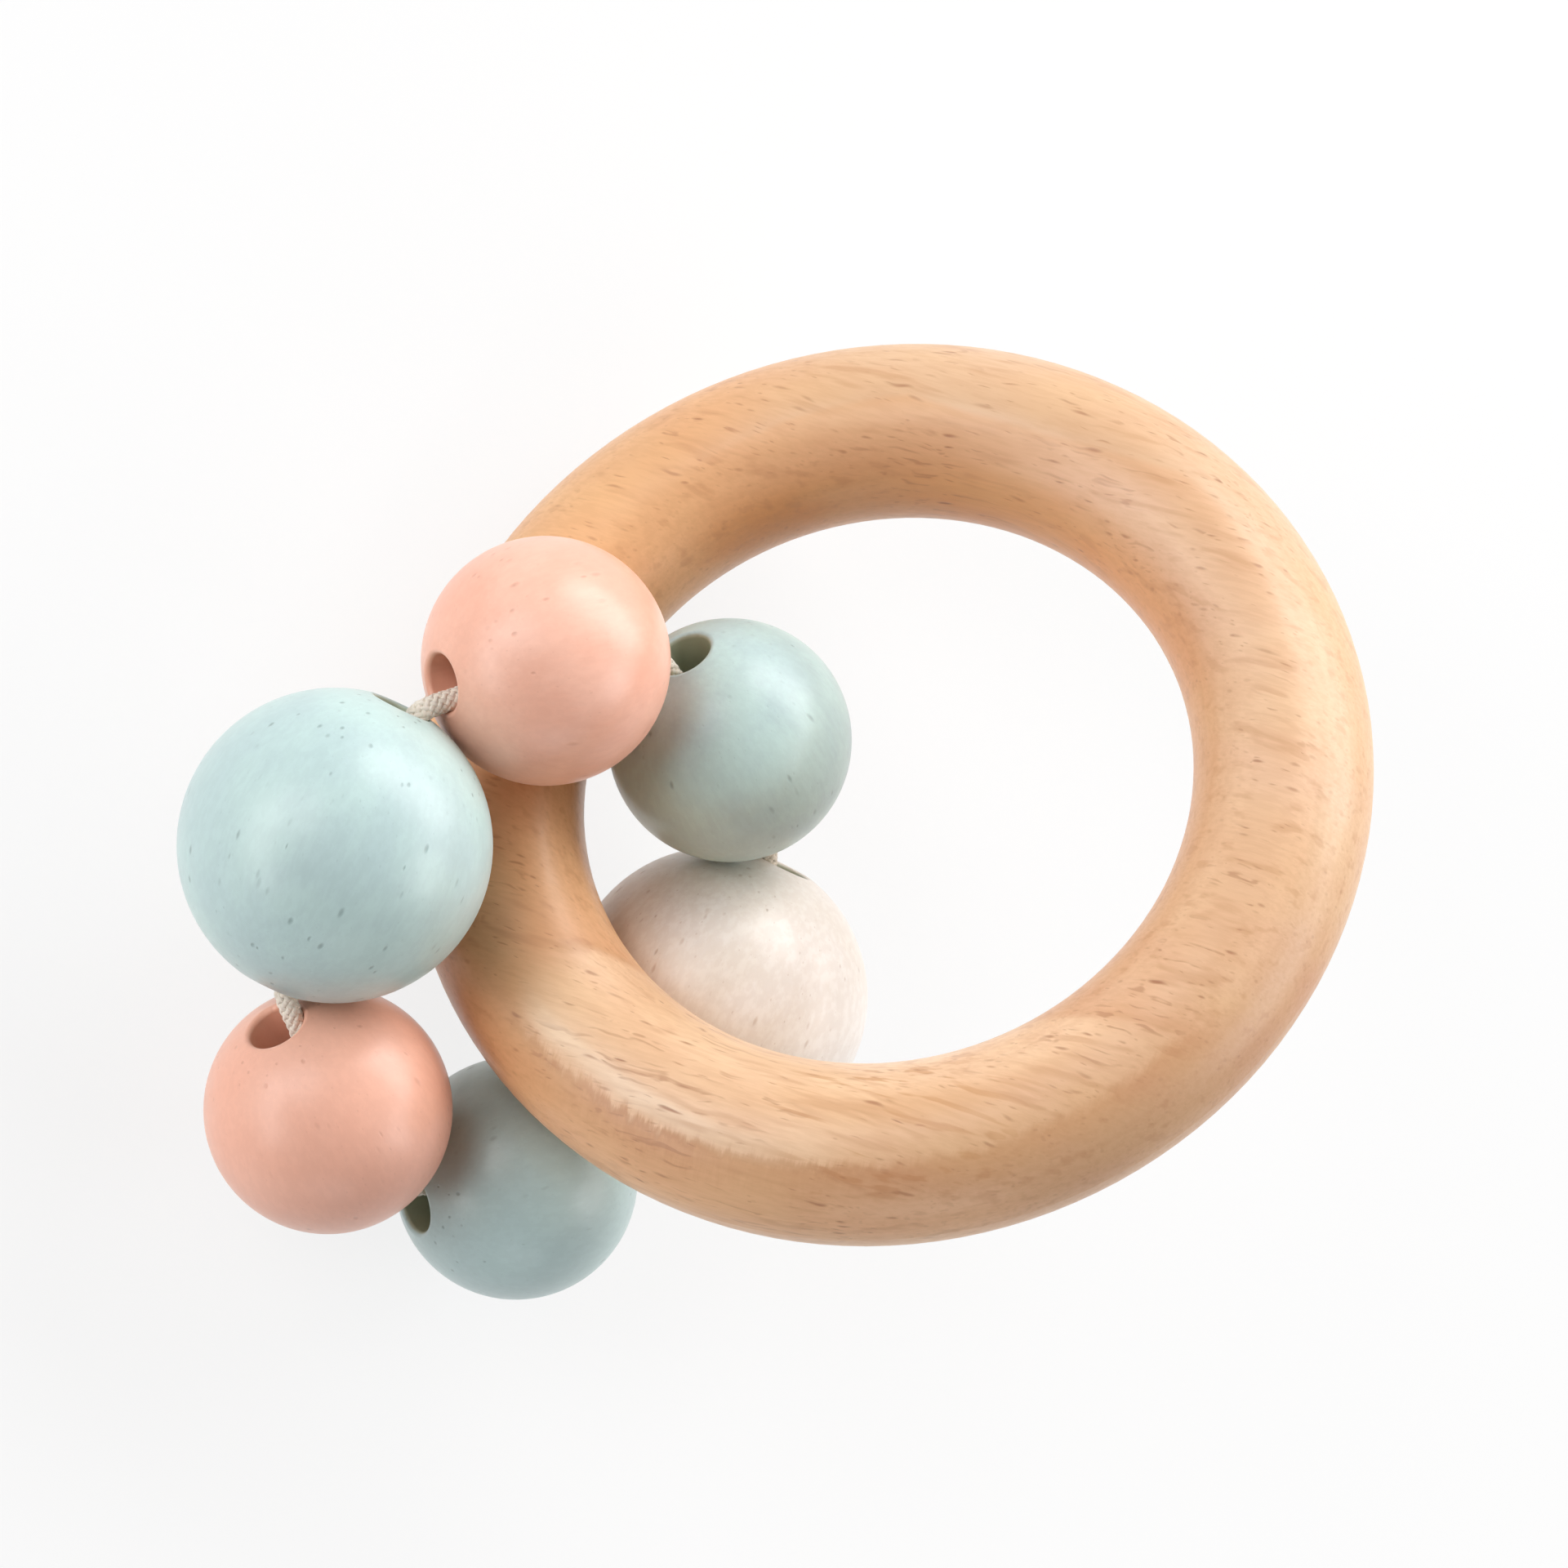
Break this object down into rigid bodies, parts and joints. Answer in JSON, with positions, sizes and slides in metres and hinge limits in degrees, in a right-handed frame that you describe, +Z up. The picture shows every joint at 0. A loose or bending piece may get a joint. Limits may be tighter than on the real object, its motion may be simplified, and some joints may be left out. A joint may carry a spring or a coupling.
{
  "type": "bead ring rattle",
  "caption": "Wooden grasping ring with a closed loop of round wooden beads on a cord about its bar; the loop travels round the ring and the beads spin and clack.",
  "frame": {"origin": "on the table that the rattle lies on, under the middle of its bounding box", "axes": "+Z up from the table; +X the way that the ring's plane rises; the rattle is longest along Y and the bead loop is at its -Y end"},
  "size_m": [0.0766, 0.0966, 0.0582],
  "materials": {
    "ring_wood": "sanded pale hardwood with open pores and a thin satin oil",
    "pink_bead": "salmon pink stain under a satin lacquer",
    "aqua_bead": "pale aqua stain under a satin lacquer",
    "cream_bead": "off-white stain under a satin lacquer",
    "cord": "off-white braided cord, slightly fuzzy"
  },
  "bodies": {
    "ring": {"ring": "ring_wood"},
    "bead_loop": {"cord": "cord"},
    "pink_bead_upper": {"pink_bead_upper": "pink_bead"},
    "aqua_bead_large": {"aqua_bead_large": "aqua_bead"},
    "pink_bead_lower": {"pink_bead_lower": "pink_bead"},
    "aqua_bead_lower": {"aqua_bead_lower": "aqua_bead"},
    "cream_bead_large": {"cream_bead_large": "cream_bead"},
    "aqua_bead_upper": {"aqua_bead_upper": "aqua_bead"}
  },
  "joints": [
    {"name": "loop_travel", "type": "hinge", "parent": "ring", "child": "bead_loop", "pos_m": [0.00724, 0.00874, 0.0291], "axis": [-0.6754, 0, 0.7375], "continuous": true},
    {"name": "pink_upper_spin", "type": "hinge", "parent": "bead_loop", "child": "pink_bead_upper", "pos_m": [-0.02127, -0.0009, 0.02496], "axis": [-0.6534, -0.7532, 0.0762], "continuous": true},
    {"name": "aqua_large_spin", "type": "hinge", "parent": "bead_loop", "child": "aqua_bead_large", "pos_m": [-0.02584, -0.02304, 0.02246], "axis": [0.2601, -0.9322, -0.2517], "continuous": true},
    {"name": "pink_lower_spin", "type": "hinge", "parent": "bead_loop", "child": "pink_bead_lower", "pos_m": [-0.01083, -0.03834, 0.01485], "axis": [0.9202, -0.2032, -0.3345], "continuous": true},
    {"name": "aqua_lower_spin", "type": "hinge", "parent": "bead_loop", "child": "aqua_bead_lower", "pos_m": [0.00773, -0.03186, 0.01], "axis": [0.6534, 0.7532, -0.0762], "continuous": true},
    {"name": "cream_large_spin", "type": "hinge", "parent": "bead_loop", "child": "cream_bead_large", "pos_m": [0.0123, -0.00971, 0.0125], "axis": [-0.2601, 0.9322, 0.2517], "continuous": true},
    {"name": "aqua_upper_spin", "type": "hinge", "parent": "bead_loop", "child": "aqua_bead_upper", "pos_m": [-0.00271, 0.00559, 0.02011], "axis": [-0.9202, 0.2032, 0.3345], "continuous": true}
  ]
}
